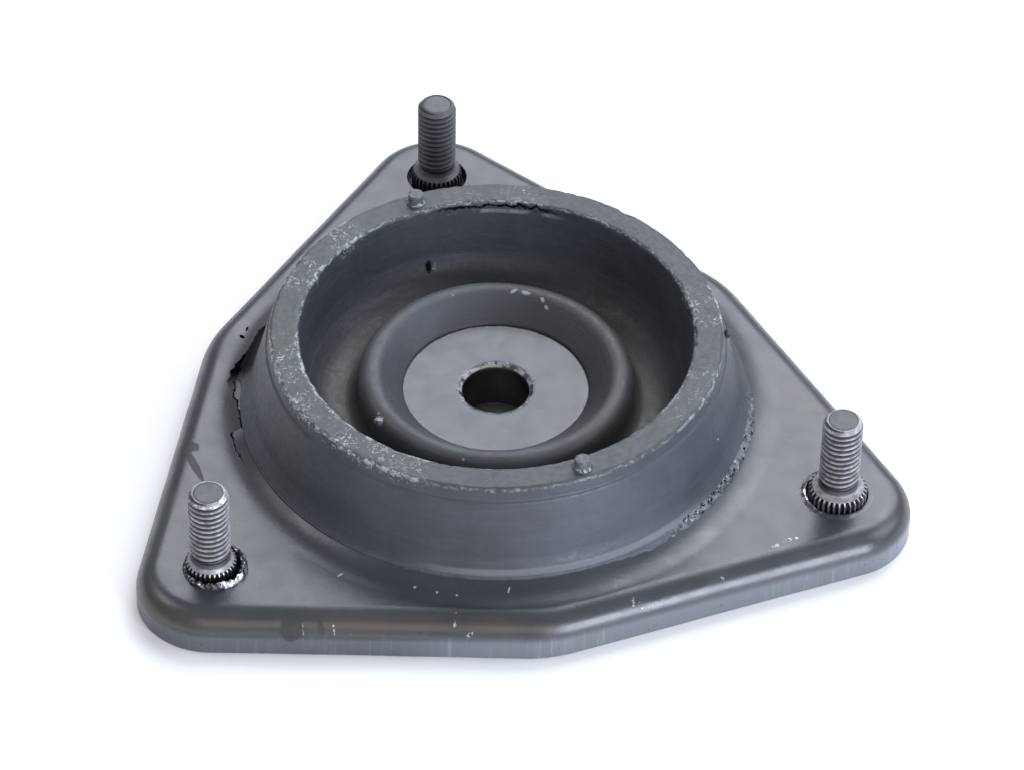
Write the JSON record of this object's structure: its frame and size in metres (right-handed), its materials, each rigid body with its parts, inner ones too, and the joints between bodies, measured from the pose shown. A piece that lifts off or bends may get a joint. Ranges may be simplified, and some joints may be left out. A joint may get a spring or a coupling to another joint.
{
  "type": "strut mount",
  "caption": "Triangular pressed-steel strut mount with threaded studs at its corners and a raised rubber ring around a steel core bored for the damper rod.",
  "frame": {"origin": "on the axis of the rod's bore, in the plane of the plate's top face", "axes": "+Z along the bore and up the studs; +Y towards the rear stud; the other studs lie at 120 degrees to it on each side"},
  "size_m": [0.1532, 0.1484, 0.0316],
  "materials": {
    "painted_plate": "thin semi-gloss grey coat on pressed steel, worn at the folds",
    "dark_stud": "dark phosphate on rolled thread, bright on the crests",
    "black_rubber": "moulded natural rubber with a dusty bloom and torn flash",
    "bare_core": "smooth satin grey with a rubbed bore edge"
  },
  "bodies": {
    "root": {"mounting_plate": "painted_plate", "stud_rear": "dark_stud", "stud_left": "dark_stud", "stud_right": "dark_stud", "rubber_bushing": "black_rubber", "core": "bare_core"}
  },
  "joints": []
}
